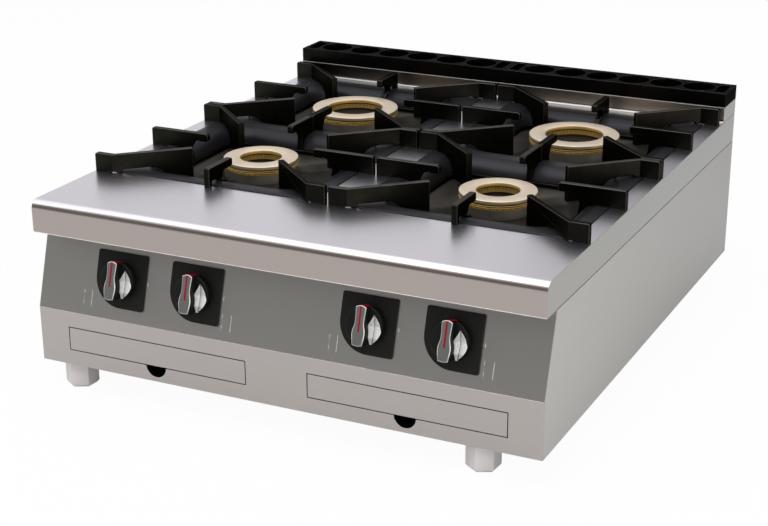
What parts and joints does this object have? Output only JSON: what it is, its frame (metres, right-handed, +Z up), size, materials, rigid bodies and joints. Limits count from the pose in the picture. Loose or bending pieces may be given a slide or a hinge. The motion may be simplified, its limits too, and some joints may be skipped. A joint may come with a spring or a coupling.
{
  "type": "gas range",
  "caption": "Countertop gas range with ring burners, lift-off cast grates, enamelled pans, sloping control panel, drip trays and a rear flue, on short feet.",
  "frame": {"origin": "on the floor, at the middle of the bounding box in X and Y", "axes": "+X to the right of a cook who faces the range, +Y from the controls to the flue, +Z up"},
  "size_m": [0.8, 0.919, 0.342],
  "materials": {
    "worktop_steel": "satin",
    "side_steel": "fine satin",
    "front_steel": "satin",
    "panel_steel": "satin",
    "enamel": "glossy enamel",
    "cast_iron": "matt black enamel",
    "burner_iron": "cast",
    "ring_brass": "machined",
    "brass": "turned",
    "black_plastic": "satin",
    "pointer_red": "gloss",
    "pipe_steel": "drawn",
    "pipe_aluminium": "drawn",
    "foot_grey": "satin"
  },
  "bodies": {
    "body": {"worktop": "worktop_steel", "side_panel_left": "side_steel", "side_panel_right": "side_steel", "rear_panel": "side_steel", "base_panel": "side_steel", "control_panel": "panel_steel", "lower_front": "front_steel", "centre_divider": "side_steel", "burner_rails": "side_steel", "flue_riser": "worktop_steel", "flue_grille_left": "cast_iron", "flue_grille_right": "cast_iron", "pan_left": "enamel", "pan_right": "enamel", "bezels": "black_plastic", "gas_manifold": "pipe_steel", "gas_inlet": "brass", "supply_pipes": "pipe_aluminium", "injectors": "brass", "tray_runners": "side_steel", "rear_screws": "pipe_steel", "burner_body_fl": "burner_iron", "gas_valve_fl": "brass", "burner_body_fr": "burner_iron", "gas_valve_fr": "brass", "burner_body_rl": "burner_iron", "gas_valve_rl": "brass", "burner_body_rr": "burner_iron", "gas_valve_rr": "brass"},
    "plug_fl": {"valve_plug_fl": "brass"},
    "knob_fl": {"knob_fl": "black_plastic", "knob_pointer_fl": "pointer_red", "valve_spindle_fl": "pipe_steel"},
    "ring_fl": {"burner_ring_fl": "ring_brass"},
    "grate_fl": {"grate_fl": "cast_iron"},
    "foot_fl": {"foot_fl": "foot_grey"},
    "plug_fr": {"valve_plug_fr": "brass"},
    "knob_fr": {"knob_fr": "black_plastic", "knob_pointer_fr": "pointer_red", "valve_spindle_fr": "pipe_steel"},
    "ring_fr": {"burner_ring_fr": "ring_brass"},
    "grate_fr": {"grate_fr": "cast_iron"},
    "foot_fr": {"foot_fr": "foot_grey"},
    "plug_rl": {"valve_plug_rl": "brass"},
    "knob_rl": {"knob_rl": "black_plastic", "knob_pointer_rl": "pointer_red", "valve_spindle_rl": "pipe_steel"},
    "ring_rl": {"burner_ring_rl": "ring_brass"},
    "grate_rl": {"grate_rl": "cast_iron"},
    "foot_rl": {"foot_rl": "foot_grey"},
    "plug_rr": {"valve_plug_rr": "brass"},
    "knob_rr": {"knob_rr": "black_plastic", "knob_pointer_rr": "pointer_red", "valve_spindle_rr": "pipe_steel"},
    "ring_rr": {"burner_ring_rr": "ring_brass"},
    "grate_rr": {"grate_rr": "cast_iron"},
    "foot_rr": {"foot_rr": "foot_grey"},
    "tray_left": {"drip_tray_left": "front_steel"},
    "tray_right": {"drip_tray_right": "front_steel"}
  },
  "joints": [
    {"name": "knob_turn_fl", "type": "hinge", "parent": "body", "child": "plug_fl", "pos_m": [-0.1365, -0.42266, 0.18473], "axis": [0, -0.9545, 0.2983], "range_deg": [0, 180]},
    {"name": "knob_push_fl", "type": "slide", "parent": "plug_fl", "child": "knob_fl", "axis": [0, 0.9545, -0.2983], "range_m": [0, 0.003], "stiffness_N_per_m": 1500, "springref_m": -0.002},
    {"name": "ring_lift_fl", "type": "slide", "parent": "body", "child": "ring_fl", "axis": [0, 0, 1], "range_m": [0, 0.05]},
    {"name": "grate_lift_fl", "type": "slide", "parent": "body", "child": "grate_fl", "axis": [0, 0, 1], "range_m": [0, 0.08]},
    {"name": "foot_turn_fl", "type": "hinge", "parent": "body", "child": "foot_fl", "pos_m": [-0.355, -0.40848, 0], "axis": [0, 0, 1], "continuous": true},
    {"name": "knob_turn_fr", "type": "hinge", "parent": "body", "child": "plug_fr", "pos_m": [0.1365, -0.42266, 0.18473], "axis": [0, -0.9545, 0.2983], "range_deg": [0, 180]},
    {"name": "knob_push_fr", "type": "slide", "parent": "plug_fr", "child": "knob_fr", "axis": [0, 0.9545, -0.2983], "range_m": [0, 0.003], "stiffness_N_per_m": 1500, "springref_m": -0.002},
    {"name": "ring_lift_fr", "type": "slide", "parent": "body", "child": "ring_fr", "axis": [0, 0, 1], "range_m": [0, 0.05]},
    {"name": "grate_lift_fr", "type": "slide", "parent": "body", "child": "grate_fr", "axis": [0, 0, 1], "range_m": [0, 0.08]},
    {"name": "foot_turn_fr", "type": "hinge", "parent": "body", "child": "foot_fr", "pos_m": [0.303, -0.40848, 0], "axis": [0, 0, 1], "continuous": true},
    {"name": "knob_turn_rl", "type": "hinge", "parent": "body", "child": "plug_rl", "pos_m": [-0.2625, -0.42266, 0.18473], "axis": [0, -0.9545, 0.2983], "range_deg": [0, 180]},
    {"name": "knob_push_rl", "type": "slide", "parent": "plug_rl", "child": "knob_rl", "axis": [0, 0.9545, -0.2983], "range_m": [0, 0.003], "stiffness_N_per_m": 1500, "springref_m": -0.002},
    {"name": "ring_lift_rl", "type": "slide", "parent": "body", "child": "ring_rl", "axis": [0, 0, 1], "range_m": [0, 0.05]},
    {"name": "grate_lift_rl", "type": "slide", "parent": "body", "child": "grate_rl", "axis": [0, 0, 1], "range_m": [0, 0.08]},
    {"name": "foot_turn_rl", "type": "hinge", "parent": "body", "child": "foot_rl", "pos_m": [-0.355, 0.40952, 0], "axis": [0, 0, 1], "continuous": true},
    {"name": "knob_turn_rr", "type": "hinge", "parent": "body", "child": "plug_rr", "pos_m": [0.2625, -0.42266, 0.18473], "axis": [0, -0.9545, 0.2983], "range_deg": [0, 180]},
    {"name": "knob_push_rr", "type": "slide", "parent": "plug_rr", "child": "knob_rr", "axis": [0, 0.9545, -0.2983], "range_m": [0, 0.003], "stiffness_N_per_m": 1500, "springref_m": -0.002},
    {"name": "ring_lift_rr", "type": "slide", "parent": "body", "child": "ring_rr", "axis": [0, 0, 1], "range_m": [0, 0.05]},
    {"name": "grate_lift_rr", "type": "slide", "parent": "body", "child": "grate_rr", "axis": [0, 0, 1], "range_m": [0, 0.08]},
    {"name": "foot_turn_rr", "type": "hinge", "parent": "body", "child": "foot_rr", "pos_m": [0.303, 0.40952, 0], "axis": [0, 0, 1], "continuous": true},
    {"name": "tray_pull_left", "type": "slide", "parent": "body", "child": "tray_left", "axis": [0, -1, 0], "range_m": [0, 0.5]},
    {"name": "tray_pull_right", "type": "slide", "parent": "body", "child": "tray_right", "axis": [0, -1, 0], "range_m": [0, 0.5]}
  ]
}
